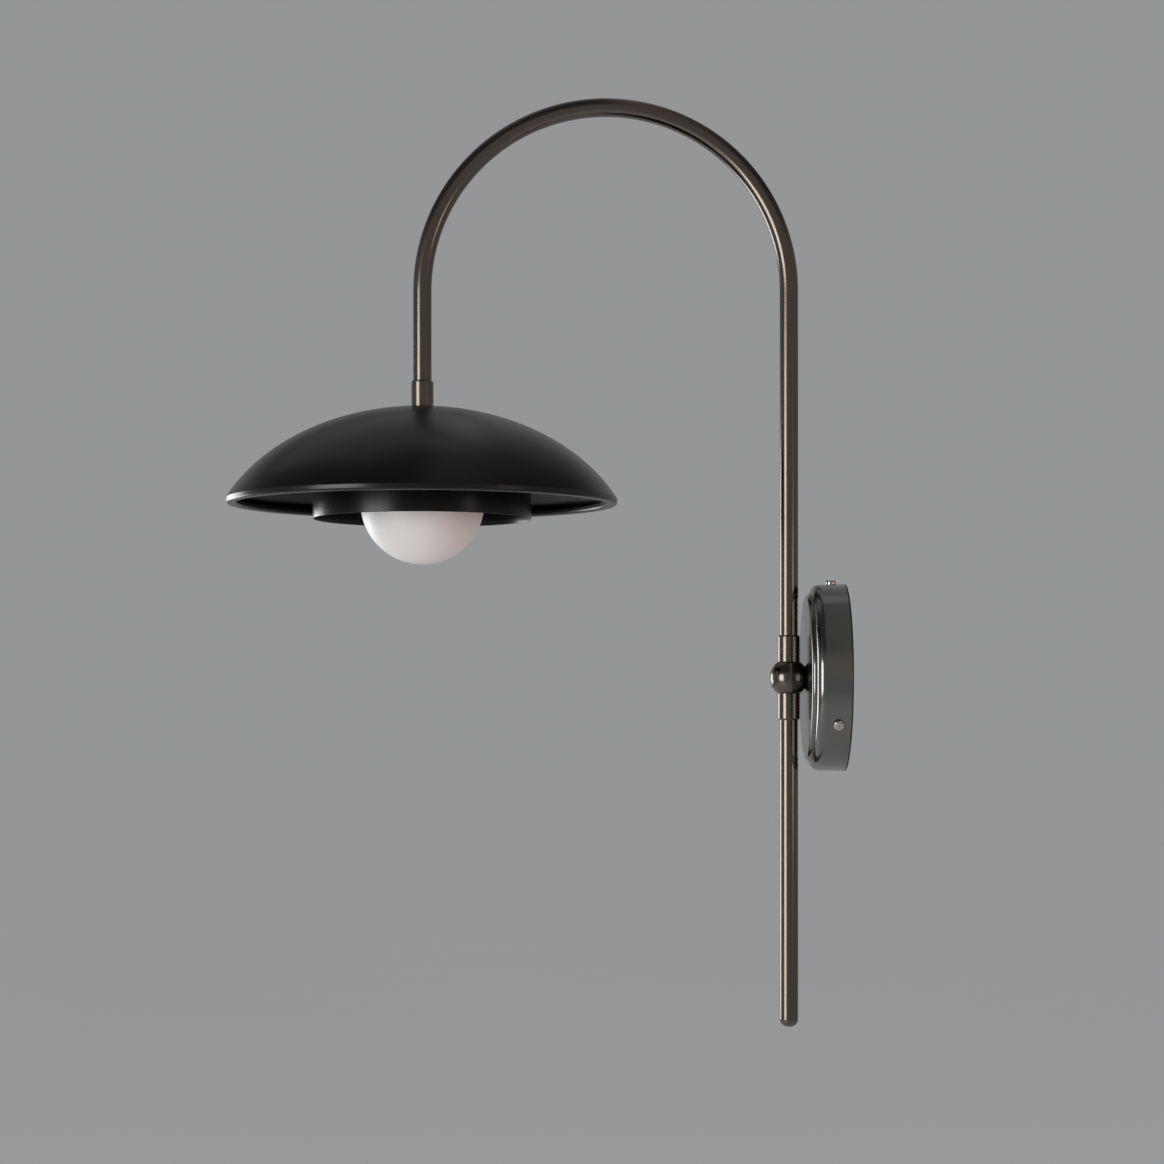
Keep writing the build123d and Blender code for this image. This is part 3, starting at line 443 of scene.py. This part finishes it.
# ---------------------------------------------------------------- operators
class WALLLIGHT_OT_rose(bpy.types.Operator):
    """Spin the stepped rose and turn its three side screws"""
    bl_idname = "walllight.rose"
    bl_label = "Rose and side screws"

    def execute(self, context):
        sizes = context.scene.wall_light_rose
        colours = context.scene.wall_light_finish
        nickel = black_nickel_plate("rose_black_nickel", colours.rose, colours.rose_warm, 0.13, 0.18)
        bm = bmesh.new()
        self.draw_outline(bm, sizes)
        spin_about(bm, 0, ROUND_STEPS)
        bmesh.ops.rotate(bm, verts=bm.verts, cent=(0, 0, 0), matrix=Matrix.Rotation(-math.pi / 2, 3, "Y"))
        add_piece("rose_cover", bm, "fitting", ["rose"], nickel, sharp_angle=50)
        self.add_screws(sizes, colours)
        return {"FINISHED"}

    @staticmethod
    def draw_outline(bm, sizes):
        """The rose's section, outside then inside, as radius and height from the wall."""
        wall = sizes.wall
        edge = sizes.front_radius - sizes.shoulder_round
        shoulder = sizes.side_height + sizes.shoulder_round
        face_edge = sizes.face_height - sizes.dome
        face_radius = edge - sizes.groove_width
        flat = face_radius - sizes.face_round
        floor = shoulder - sizes.groove_depth
        outside = chain(bm, [
            (sizes.back_radius - wall, sizes.back), (sizes.back_radius, sizes.back),
            (sizes.front_radius, sizes.side_height), (sizes.front_radius, shoulder),
            (edge, shoulder), (edge, floor), (face_radius, floor), (face_radius, face_edge)])
        middle_outside = carry_over_dome(bm, outside[-1], flat, face_edge, sizes.dome, sizes.bore)
        middle_inside = bm.verts.new((sizes.bore, 0, middle_outside.co.z - wall))
        bm.edges.new((middle_outside, middle_inside))
        inside = chain(bm, [
            (face_radius - wall, face_edge - wall), (face_radius - wall, shoulder - wall),
            (sizes.front_radius - wall, shoulder - wall)], start=middle_inside, end=outside[0])
        round_corner(bm, outside[3], sizes.shoulder_round * FULL_ROUND, 14)
        round_corner(bm, outside[7], sizes.face_round * FULL_ROUND, 10)
        round_corner(bm, outside[1], sizes.back_edge, 3)
        round_corner(bm, outside[4], sizes.groove_edge, 3)
        round_corner(bm, inside[0], sizes.face_round - wall, 4)
        round_corner(bm, inside[2], sizes.shoulder_round - wall, 6)

    @staticmethod
    def add_screws(sizes, colours):
        """Three slotted pan heads, each with its slot left where the driver stopped."""
        bright = black_nickel_plate("screw_bright_nickel", colours.screw, "#b0a89e", 0.12, 0.18)
        seat = half_width("rose") - sizes.screw_sunk
        slot_turns = (25, -40, 70)
        for index, slot_turn in enumerate(slot_turns):
            bm = bmesh.new()
            corners = chain(bm, [(0, 0), (sizes.screw_radius, 0), (sizes.screw_radius, sizes.screw_head),
                                 (0, sizes.screw_head)])
            round_corner(bm, corners[2], sizes.screw_round, 6)
            spin_about(bm, 0, 48)
            cut_slot(bm, sizes.screw_slot, sizes.screw_head, sizes.screw_slot_depth)
            turn = Matrix.Rotation(math.radians(slot_turn), 4, "Z")
            out = Matrix.Translation((seat, 0, 0)) @ Matrix.Rotation(math.pi / 2, 4, "Y")
            around = Matrix.Rotation(math.tau * index / len(slot_turns), 4, "Z")
            stand = Matrix.Rotation(-math.pi / 2, 4, "Y") @ Matrix.Translation((0, 0, sizes.screw_height))
            bmesh.ops.transform(bm, verts=bm.verts, matrix=stand @ around @ out @ turn)
            add_piece(f"side_screw_{index + 1}", bm, "fitting", ["cover_screws"], bright)


def carry_over_dome(bm, edge_vert, flat, edge_height, dome, bore):
    """Carry an outline from the edge of a gently domed face over to its bore; returns its last vertex."""
    bow = (flat ** 2 + dome ** 2) / (2 * dome)
    centre = edge_height + dome - bow
    here = bm.verts.new((flat, 0, edge_height))
    bm.edges.new((edge_vert, here))
    swept = bmesh.ops.spin(bm, geom=[here], cent=(0, 0, centre), axis=(0, -1, 0),
                           angle=math.asin(flat / bow) - math.asin(bore / bow), steps=40,
                           use_merge=False, use_duplicate=False)
    return next(item for item in swept["geom_last"] if isinstance(item, bmesh.types.BMVert))


def cut_slot(bm, width, top, depth):
    """Sink a straight slot across the top of a screw head."""
    floor = top - depth
    for side in (-1, 1):
        bmesh.ops.bisect_plane(bm, geom=bm.verts[:] + bm.edges[:] + bm.faces[:],
                               plane_co=(0, side * width / 2, 0), plane_no=(0, 1, 0))
    bmesh.ops.bisect_plane(bm, geom=bm.verts[:] + bm.edges[:] + bm.faces[:],
                           plane_co=(0, 0, floor), plane_no=UP)
    sunk = [face for face in bm.faces
            if abs(face.calc_center_median().y) < width / 2 and face.calc_center_median().z > floor]
    grown = bmesh.ops.extrude_face_region(bm, geom=sunk)
    bmesh.ops.delete(bm, geom=sunk, context="FACES")
    bottom = [item for item in grown["geom"] if isinstance(item, bmesh.types.BMVert)]
    bmesh.ops.scale(bm, verts=bottom, vec=(1, 1, 0), space=Matrix.Translation((0, 0, -floor)))


class WALLLIGHT_OT_arm(bpy.types.Operator):
    """Bend the arched tube and turn the ball, the collars and the tail"""
    bl_idname = "walllight.arm"
    bl_label = "Ball, tubes and collars"

    def execute(self, context):
        sizes = context.scene.wall_light_arm
        colours = context.scene.wall_light_finish
        shade_x = -context.scene.wall_light_shade.stand_off
        nickel = black_nickel_plate("tube_black_nickel", colours.nickel, colours.nickel_warm, 0.17, 0.22)
        self.add_arch(sizes, shade_x, nickel)
        self.add_ball(sizes, nickel)
        self.add_collar("upper_collar_turned", "upper_collar", -sizes.stand_off, False, sizes, nickel)
        self.add_collar("lower_collar_turned", "lower_collar", -sizes.stand_off, True, sizes, nickel)
        self.add_collar("shade_collar_turned", "shade_collar", shade_x, False, sizes, nickel)
        self.add_tail(sizes, nickel)
        return {"FINISHED"}

    @staticmethod
    def add_arch(sizes, shade_x, nickel):
        """One tube: up from the ball, over a half circle and down to the shade's collar."""
        arm_x = -sizes.stand_off
        drop_end = highest("shade_collar") - sizes.socket
        bm = bmesh.new()
        for radius in (sizes.tube_radius, sizes.tube_radius - sizes.tube_wall):
            bmesh.ops.create_circle(bm, cap_ends=False, segments=72, radius=radius,
                                    matrix=Matrix.Translation((arm_x, 0, sizes.arch_low)))
        first = bm.edges[:]
        risen = bmesh.ops.extrude_edge_only(bm, edges=first)["geom"]
        verts = [item for item in risen if isinstance(item, bmesh.types.BMVert)]
        bmesh.ops.translate(bm, verts=verts, vec=(0, 0, sizes.bend_height - sizes.arch_low))
        rim = [item for item in risen if isinstance(item, (bmesh.types.BMVert, bmesh.types.BMEdge))]
        swept = bmesh.ops.spin(bm, geom=rim, cent=((arm_x + shade_x) / 2, 0, sizes.bend_height),
                               axis=(0, -1, 0), angle=math.pi, steps=128, use_merge=False,
                               use_duplicate=False)["geom_last"]
        last = [item for item in swept if isinstance(item, bmesh.types.BMEdge)]
        dropped = bmesh.ops.extrude_edge_only(bm, edges=last)["geom"]
        verts = [item for item in dropped if isinstance(item, bmesh.types.BMVert)]
        bmesh.ops.translate(bm, verts=verts, vec=(0, 0, drop_end - sizes.bend_height))
        bmesh.ops.bridge_loops(bm, edges=first)
        bmesh.ops.bridge_loops(bm, edges=[item for item in dropped if isinstance(item, bmesh.types.BMEdge)])
        add_piece("arched_tube", bm, "fitting", ["arm_tube"], nickel)

    @staticmethod
    def add_ball(sizes, nickel):
        """Turned ball with a flat seat above, below and towards the wall."""
        bm = bmesh.new()
        bmesh.ops.create_uvsphere(bm, u_segments=128, v_segments=96, radius=sizes.ball_radius)
        seat = highest("ball_connector")
        rims = []
        for way in (UP, -UP, Vector((1, 0, 0))):
            cut = bmesh.ops.bisect_plane(bm, geom=bm.verts[:] + bm.edges[:] + bm.faces[:],
                                         plane_co=way * seat, plane_no=way, clear_outer=True)
            rim = [item for item in cut["geom_cut"] if isinstance(item, bmesh.types.BMEdge)]
            bmesh.ops.edgeloop_fill(bm, edges=rim)
            rims += rim
        bmesh.ops.bevel(bm, geom=rims, offset=sizes.ball_edge, offset_type="OFFSET", affect="EDGES",
                        segments=3, profile=0.5, material=-1)
        bmesh.ops.translate(bm, verts=bm.verts, vec=(-sizes.stand_off, 0, 0))
        add_piece("turned_ball", bm, "fitting", ["ball_connector"], nickel)

    @staticmethod
    def add_collar(name, node, x, hangs, sizes, nickel):
        """Turned sleeve with a bevelled shoulder and a socket for the tube."""
        low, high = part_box(node)
        bore = sizes.tube_radius + sizes.slip
        neck = sizes.collar_radius - sizes.collar_shoulder
        tall = high.z - low.z
        bm = bmesh.new()
        corners = chain(bm, [(bore, 0), (sizes.collar_radius, 0),
                             (sizes.collar_radius, tall - sizes.collar_shoulder), (neck, tall), (bore, tall)])
        bm.edges.new((corners[-1], corners[0]))
        round_corner(bm, corners[1], sizes.collar_edge, 3)
        round_corner(bm, corners[2], sizes.collar_edge, 3)
        spin_about(bm, 0, SMALL_STEPS)
        if hangs:
            bmesh.ops.rotate(bm, verts=bm.verts, cent=(0, 0, 0), matrix=Matrix.Rotation(math.pi, 3, "X"))
        bmesh.ops.translate(bm, verts=bm.verts, vec=(x, 0, high.z if hangs else low.z))
        add_piece(name, bm, "fitting", [node], nickel, sharp_angle=50)

    @staticmethod
    def add_tail(sizes, nickel):
        """Plain tube under the lower collar, and the rounded plug that closes it."""
        radius = sizes.tube_radius
        bore = radius - sizes.tube_wall
        tube_low, tube_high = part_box("tail_tube")
        cap_low, cap_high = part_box("tail_cap")
        bm = bmesh.new()
        corners = chain(bm, [(bore, tube_low.z), (radius, tube_low.z), (radius, tube_high.z),
                             (bore, tube_high.z)])
        bm.edges.new((corners[-1], corners[0]))
        round_corner(bm, corners[1], sizes.tube_edge, 2)
        spin_about(bm, -sizes.stand_off, SMALL_STEPS)
        add_piece("tail_tube_polished", bm, "fitting", ["tail_tube"], nickel)
        spigot = bore - sizes.slip
        bm = bmesh.new()
        corners = chain(bm, [(0, cap_low.z), (radius, cap_low.z), (radius, tube_low.z), (spigot, tube_low.z),
                             (spigot, cap_high.z), (0, cap_high.z)])
        round_corner(bm, corners[2], sizes.tube_edge, 2)
        round_corner(bm, corners[1], sizes.cap_round, 14)
        spin_about(bm, -sizes.stand_off, SMALL_STEPS)
        add_piece("tail_cap_turned", bm, "fitting", ["tail_cap"], nickel, sharp_angle=50)


class WALLLIGHT_OT_shade(bpy.types.Operator):
    """Spin the dome shade with its thick lip, and the baffle inside it"""
    bl_idname = "walllight.shade"
    bl_label = "Shade and baffle"

    def execute(self, context):
        sizes = context.scene.wall_light_shade
        enamel = satin_stove_enamel(context.scene.wall_light_finish.enamel)
        self.add_dome(sizes, enamel)
        self.add_baffle(sizes, enamel)
        return {"FINISHED"}

    @staticmethod
    def add_dome(sizes, enamel):
        across = sizes.radius + sizes.overrun
        crown_share = math.sqrt(1 - (sizes.crown / across) ** 2)
        foot_share = math.sqrt(1 - (sizes.radius / across) ** 2)
        foot = sizes.rim + sizes.lip_foot
        half_up = (sizes.top - foot) / (crown_share - foot_share)
        centre = sizes.top - half_up * crown_share
        lip_inner = sizes.radius - sizes.lip_width
        lip_top = sizes.rim + sizes.lip_height
        under = sizes.top - sizes.wall
        bm = bmesh.new()
        outer_low, outer_high = upright_arc(bm, across, half_up, centre, foot, sizes.top)
        inner_low, inner_high = upright_arc(bm, across - sizes.wall, half_up - sizes.wall, centre,
                                            lip_top, under)
        lip = chain(bm, [(sizes.radius, sizes.rim), (lip_inner, sizes.rim), (lip_inner, lip_top)],
                    start=outer_low, end=inner_low)
        chain(bm, [(sizes.bore, sizes.top), (sizes.bore, under)], start=outer_high, end=inner_high)
        round_corner(bm, outer_low, sizes.lip_foot_round, 6)
        round_corner(bm, lip[0], sizes.lip_round, 8)
        round_corner(bm, lip[1], sizes.lip_inner_round, 6)
        round_corner(bm, lip[2], sizes.lip_edge, 4)
        spin_about(bm, -sizes.stand_off, ROUND_STEPS)
        add_piece("spun_dome", bm, "fitting", ["shade"], enamel, sharp_angle=50)

    @staticmethod
    def add_baffle(sizes, enamel):
        low, high = lowest("baffle"), highest("baffle")
        inner = sizes.baffle_radius - sizes.baffle_wall
        under = high - sizes.baffle_wall
        bm = bmesh.new()
        corners = chain(bm, [(sizes.bore, under), (inner, under), (inner, low + sizes.flare_height),
                             (inner + sizes.flare, low), (sizes.baffle_radius, low),
                             (sizes.baffle_radius, high), (sizes.bore, high)])
        bm.edges.new((corners[-1], corners[0]))
        round_corner(bm, corners[1], sizes.baffle_corner - sizes.baffle_wall, 10)
        round_corner(bm, corners[5], sizes.baffle_corner, 12)
        round_corner(bm, corners[3], sizes.baffle_edge, 3)
        round_corner(bm, corners[4], sizes.baffle_edge, 3)
        spin_about(bm, -sizes.stand_off, ROUND_STEPS)
        add_piece("spun_baffle", bm, "fitting", ["baffle"], enamel)


class WALLLIGHT_OT_globe(bpy.types.Operator):
    """Blow the opal globe with its neck"""
    bl_idname = "walllight.globe"
    bl_label = "Opal globe"

    def execute(self, context):
        sizes = context.scene.wall_light_globe
        opal = etched_opal_glass(context.scene.wall_light_finish.opal)
        low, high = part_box("globe")
        centre = low.z + sizes.radius
        inner_radius = sizes.radius - sizes.wall
        neck_inner = sizes.neck_radius - sizes.wall
        bm = bmesh.new()
        outer_low, outer_high = upright_arc(
            bm, sizes.radius, sizes.radius, centre, low.z - MM,
            centre + math.sqrt(sizes.radius ** 2 - sizes.neck_radius ** 2), 192)
        inner_low, inner_high = upright_arc(
            bm, inner_radius, inner_radius, centre, low.z - MM,
            centre + math.sqrt(inner_radius ** 2 - neck_inner ** 2), 192)
        neck = chain(bm, [(sizes.neck_radius, high.z), (neck_inner, high.z)],
                     start=outer_high, end=inner_high)
        for corner in neck:
            round_corner(bm, corner, sizes.neck_edge, 5)
        spin_about(bm, middle("globe").x, 160)
        add_piece("opal_ball", bm, "globe", ["globe"], opal)
        return {"FINISHED"}


class WALLLIGHT_OT_fittings(bpy.types.Operator):
    """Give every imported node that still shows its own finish"""
    bl_idname = "walllight.fittings"
    bl_label = "Finish the inner fittings"

    def execute(self, context):
        enamel = bpy.data.materials["satin_stove_enamel"]
        zinc = plain_metal("zinc_plated_steel", "#b9bbb8", "#a3a29c", 0.34, 0.7)
        brass = plain_metal("turned_brass", "#c8a25a", "#b08c4a", 0.26, 0.4)
        steatite = moulded("unglazed_steatite", "#e4dfd3", "#d8d1c2", 0.62, 0.6)
        nylon = moulded("moulded_nylon", "#dfdcd0", "#d5d1c4", 0.45, 0.8)
        rubber = moulded("moulded_rubber", "#1b1b1b", "#232322", 0.72, 0.5)
        finishes = {
            zinc: ["wall_bracket", "block_screw", "stiffener", "lock_washer", "rose_nipple",
                   "upper_nipple", "lower_nipple", "shade_nipple", "shade_washer", "holder_strap",
                   "holder_screws", "lamp_pins"],
            brass: ["terminal_screws", "earth_screw", "rose_locknut", "shade_locknut", "spacer_sleeve",
                    "holder_locknut"],
            enamel: ["glass_gallery"],
            steatite: ["lampholder", "lamp_base"],
            nylon: ["terminal_block"],
            rubber: ["wall_gasket", "cable_grommet"],
            clear_lamp_glass(): ["lamp_capsule"],
            moulded("black_sheath", "#1d1d1e", "#242425", 0.4, 0.8): ["sheathed_lead"],
            moulded("brown_insulation", "#5a3a26", "#533422", 0.35, 0.8): ["line_core"],
            moulded("blue_insulation", "#2c5f9e", "#28578f", 0.35, 0.8): ["neutral_core", "holder_cores"],
            earth_insulation(): ["earth_core"],
        }
        for material, nodes in finishes.items():
            for node in nodes:
                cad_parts[node].material_slots[0].material = material
        return {"FINISHED"}


class WALLLIGHT_OT_studio(bpy.types.Operator):
    """Lay the floor, hang the lights and set the camera"""
    bl_idname = "walllight.studio"
    bl_label = "Floor, lights and camera"

    def execute(self, context):
        settings = context.scene.wall_light_studio
        colours = context.scene.wall_light_finish
        self.add_floor(settings, linear(colours.floor))
        self.set_world(colours)
        aim = Vector((-settings.camera_side, 0, settings.aim_height))
        self.add_light("key_softbox", aim, (-47, -3), 1.6, (0.75, 1.0), settings.key, "#fffefc")
        self.add_light("rear_softbox", aim, (-134, -5), 1.6, (0.8, 0.75), settings.rear, "#ffffff")
        self.add_light("overhead_softbox", aim, (-152, 60), 1.6, (1.3, 1.3), settings.overhead, "#ffffff")
        bounce = self.add_light("warm_bounce", aim, (60, -42), 1.2, (0.5, 0.5), settings.fill, "#ffae80")
        bounce.visible_glossy = False
        self.add_light("warm_lamp", aim, (50, -2), 1.5, (0.3, 0.3), settings.warm, "#ffeee6")
        self.add_camera(settings)
        context.scene.view_settings.view_transform = "Standard"
        return {"FINISHED"}

    @staticmethod
    def add_floor(settings, paint):
        """A wide floor of pale matt paint, faintly uneven as a rolled coat is."""
        made, tree, where = new_material("matt_floor_paint")
        uneven = add_node(tree, "ShaderNodeTexNoise", inputs={
            "Vector": where, "Scale": per_metre(900), "Detail": 2.0}).outputs["Fac"]
        duller = [part * 0.99 for part in paint[:3]] + [1.0]
        tint = add_node(tree, "ShaderNodeMix", {"data_type": "RGBA"}, {
            "Factor": spread(tree, uneven, 0.0, 1.0), 6: paint, 7: duller}).outputs[2]
        surface = add_node(tree, "ShaderNodeBsdfPrincipled", inputs={"Base Color": tint, "Roughness": 0.9})
        close_material(tree, surface)
        bm = bmesh.new()
        bmesh.ops.create_grid(bm, x_segments=2, y_segments=2, size=settings.floor_reach,
                              matrix=Matrix.Translation((0, 0, -settings.floor_drop)))
        mesh = bpy.data.meshes.new("studio_floor")
        bm.to_mesh(mesh)
        bm.free()
        mesh.materials.append(made)
        floor = bpy.data.objects.new("studio_floor", mesh)
        bpy.context.scene.collection.objects.link(floor)

    @staticmethod
    def set_world(colours):
        """Soft light from all round and a plain backdrop, which reflections see darken overhead."""
        world = bpy.data.worlds.new("studio_surround")
        bpy.context.scene.world = world
        world.use_nodes = True
        tree = world.node_tree
        tree.nodes.clear()
        way = add_node(tree, "ShaderNodeTexCoord").outputs["Generated"]
        parts = add_node(tree, "ShaderNodeSeparateXYZ", inputs={"Vector": way}).outputs
        rising = add_node(tree, "ShaderNodeMapRange", {"interpolation_type": "SMOOTHSTEP"}, {
            "Value": parts["Z"], "From Min": 0.28, "From Max": 0.6}).outputs["Result"]
        leftward = add_node(tree, "ShaderNodeMapRange", inputs={
            "Value": parts["X"], "From Min": 0.07, "From Max": 0.02}).outputs["Result"]
        rightward = add_node(tree, "ShaderNodeMapRange", inputs={
            "Value": parts["X"], "From Min": 0.14, "From Max": 0.6}).outputs["Result"]
        beside = add_node(tree, "ShaderNodeMath", {"operation": "MAXIMUM"}, {
            0: leftward, 1: rightward}).outputs["Value"]
        darker = add_node(tree, "ShaderNodeMath", {"operation": "MULTIPLY"}, {
            0: rising, 1: beside}).outputs["Value"]
        behind_camera = add_node(tree, "ShaderNodeMapRange", inputs={
            "Value": parts["Y"], "From Min": 0.2, "From Max": -0.6}).outputs["Result"]
        round_about = add_node(tree, "ShaderNodeMix", {"data_type": "RGBA"}, {
            "Factor": behind_camera, 6: linear(colours.backdrop), 7: linear(colours.room)}).outputs[2]
        seen = add_node(tree, "ShaderNodeMix", {"data_type": "RGBA"}, {
            "Factor": darker, 6: round_about, 7: linear(colours.ceiling)}).outputs[2]
        rays = add_node(tree, "ShaderNodeLightPath").outputs
        mirrored = add_node(tree, "ShaderNodeMath", {"operation": "MAXIMUM"}, {
            0: rays["Is Glossy Ray"], 1: rays["Is Transmission Ray"]}).outputs["Value"]
        lighting = add_node(tree, "ShaderNodeMix", {"data_type": "RGBA"}, {
            "Factor": mirrored, 6: linear(colours.surround), 7: seen}).outputs[2]
        shown = add_node(tree, "ShaderNodeMix", {"data_type": "RGBA"}, {
            "Factor": rays["Is Camera Ray"], 6: lighting, 7: linear(colours.backdrop)}).outputs[2]
        light = add_node(tree, "ShaderNodeBackground", inputs={"Color": shown, "Strength": 1.0})
        add_node(tree, "ShaderNodeOutputWorld", inputs={"Surface": light.outputs["Background"]})

    @staticmethod
    def add_light(name, aim, direction, distance, size, watts, tint):
        """A rectangular softbox, placed by its turn from the camera's side and its rise, in degrees."""
        turn, rise = (math.radians(part) for part in direction)
        data = bpy.data.lights.new(name, "AREA")
        data.shape = "RECTANGLE"
        data.size, data.size_y = size
        data.energy = watts
        data.color = linear(tint)[:3]
        made = bpy.data.objects.new(name, data)
        way = Vector((math.sin(turn) * math.cos(rise), -math.cos(turn) * math.cos(rise), math.sin(rise)))
        made.location = aim + way * distance
        made.rotation_euler = way.to_track_quat("Z", "Y").to_euler()
        made.visible_camera = False
        bpy.context.scene.collection.objects.link(made)
        return made

    @staticmethod
    def add_camera(settings):
        """A long level lens a little below the ball's height, shifted so that the light sits mid-picture."""
        data = bpy.data.cameras.new("studio_camera")
        data.sensor_width = 36.0
        data.lens = settings.lens_per_metre * settings.camera_distance
        data.shift_y = settings.camera_shift
        made = bpy.data.objects.new("studio_camera", data)
        made.location = (-settings.camera_side, -settings.camera_distance, -settings.camera_drop)
        made.rotation_euler = (math.pi / 2, 0, 0)
        data.clip_end = 100.0
        bpy.context.scene.collection.objects.link(made)
        bpy.context.scene.camera = made


class WALLLIGHT_PT_panel(bpy.types.Panel):
    """Sizes, finishes and building steps of the wall light"""
    bl_idname = "WALLLIGHT_PT_panel"
    bl_label = "Wall light"
    bl_space_type = "VIEW_3D"
    bl_region_type = "UI"
    bl_category = "Wall light"

    def draw(self, context):
        for group, title in GROUPS.values():
            box = self.layout.box()
            box.label(text=title)
            settings = getattr(context.scene, group)
            for name in settings.__annotations__:
                box.prop(settings, name)
        for operator in OPERATORS:
            self.layout.operator(operator.bl_idname)


GROUPS = {
    ArmSizes: ("wall_light_arm", "Ball, tubes and collars"),
    RoseSizes: ("wall_light_rose", "Rose"),
    ShadeSizes: ("wall_light_shade", "Shade and baffle"),
    GlobeSizes: ("wall_light_globe", "Globe"),
    FinishColours: ("wall_light_finish", "Finishes"),
    StudioSettings: ("wall_light_studio", "Studio"),
}
OPERATORS = [
    WALLLIGHT_OT_rose, WALLLIGHT_OT_arm, WALLLIGHT_OT_shade, WALLLIGHT_OT_globe, WALLLIGHT_OT_fittings,
    WALLLIGHT_OT_studio,
]


def register():
    for group, (name, title) in GROUPS.items():
        bpy.utils.register_class(group)
        setattr(bpy.types.Scene, name, bpy.props.PointerProperty(type=group, name=title))
    for made in OPERATORS + [WALLLIGHT_PT_panel]:
        bpy.utils.register_class(made)


def unregister():
    for made in [WALLLIGHT_PT_panel] + OPERATORS[::-1]:
        bpy.utils.unregister_class(made)
    for group, (name, title) in GROUPS.items():
        delattr(bpy.types.Scene, name)
        bpy.utils.unregister_class(group)


def main():
    register()
    bpy.ops.walllight.rose()
    bpy.ops.walllight.arm()
    bpy.ops.walllight.shade()
    bpy.ops.walllight.globe()
    bpy.ops.walllight.fittings()
    bpy.ops.walllight.studio()


if __name__ == "__main__":
    main()
